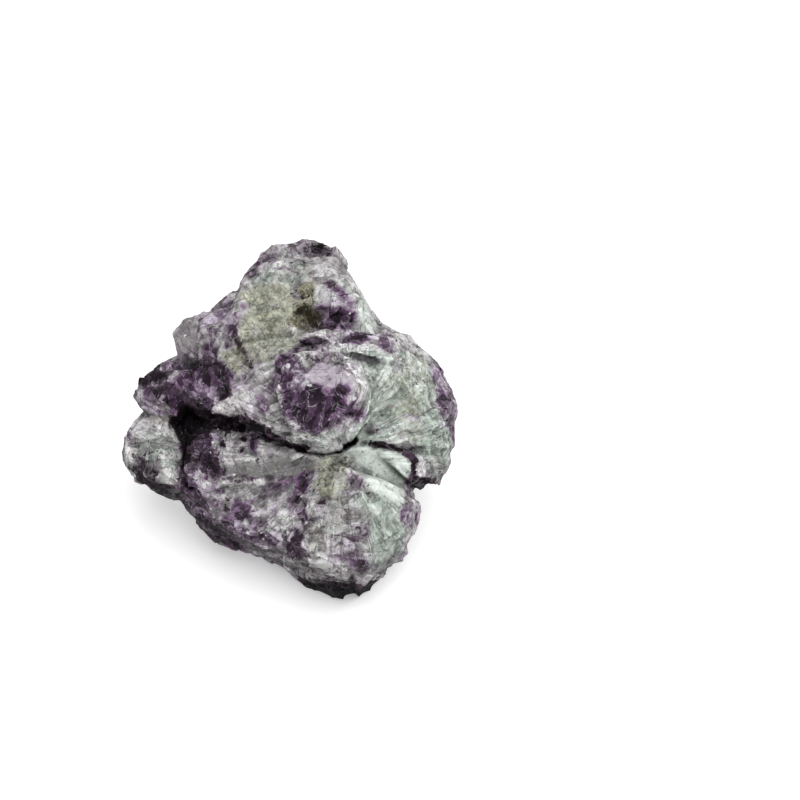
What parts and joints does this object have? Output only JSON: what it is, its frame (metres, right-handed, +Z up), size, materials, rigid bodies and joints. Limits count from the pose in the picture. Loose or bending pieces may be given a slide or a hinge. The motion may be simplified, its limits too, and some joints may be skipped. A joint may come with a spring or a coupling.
{
  "type": "raw lepidolite specimen",
  "caption": "Rough broken lump of lilac mica grown through pale green feldspar, with an overhanging hood over a dark hollow and blades that fan out at its front.",
  "frame": {"origin": "on the flat resting face, under the middle of the stone's bounding box", "axes": "+Z up from the resting face; the front, with the hood and the fans, faces -Y; +X to the right as the front is seen"},
  "size_m": [0.0616, 0.0586, 0.0438],
  "materials": {
    "rough_mica_rock": null
  },
  "bodies": {
    "root": {"lepidolite": "rough_mica_rock"}
  },
  "joints": []
}
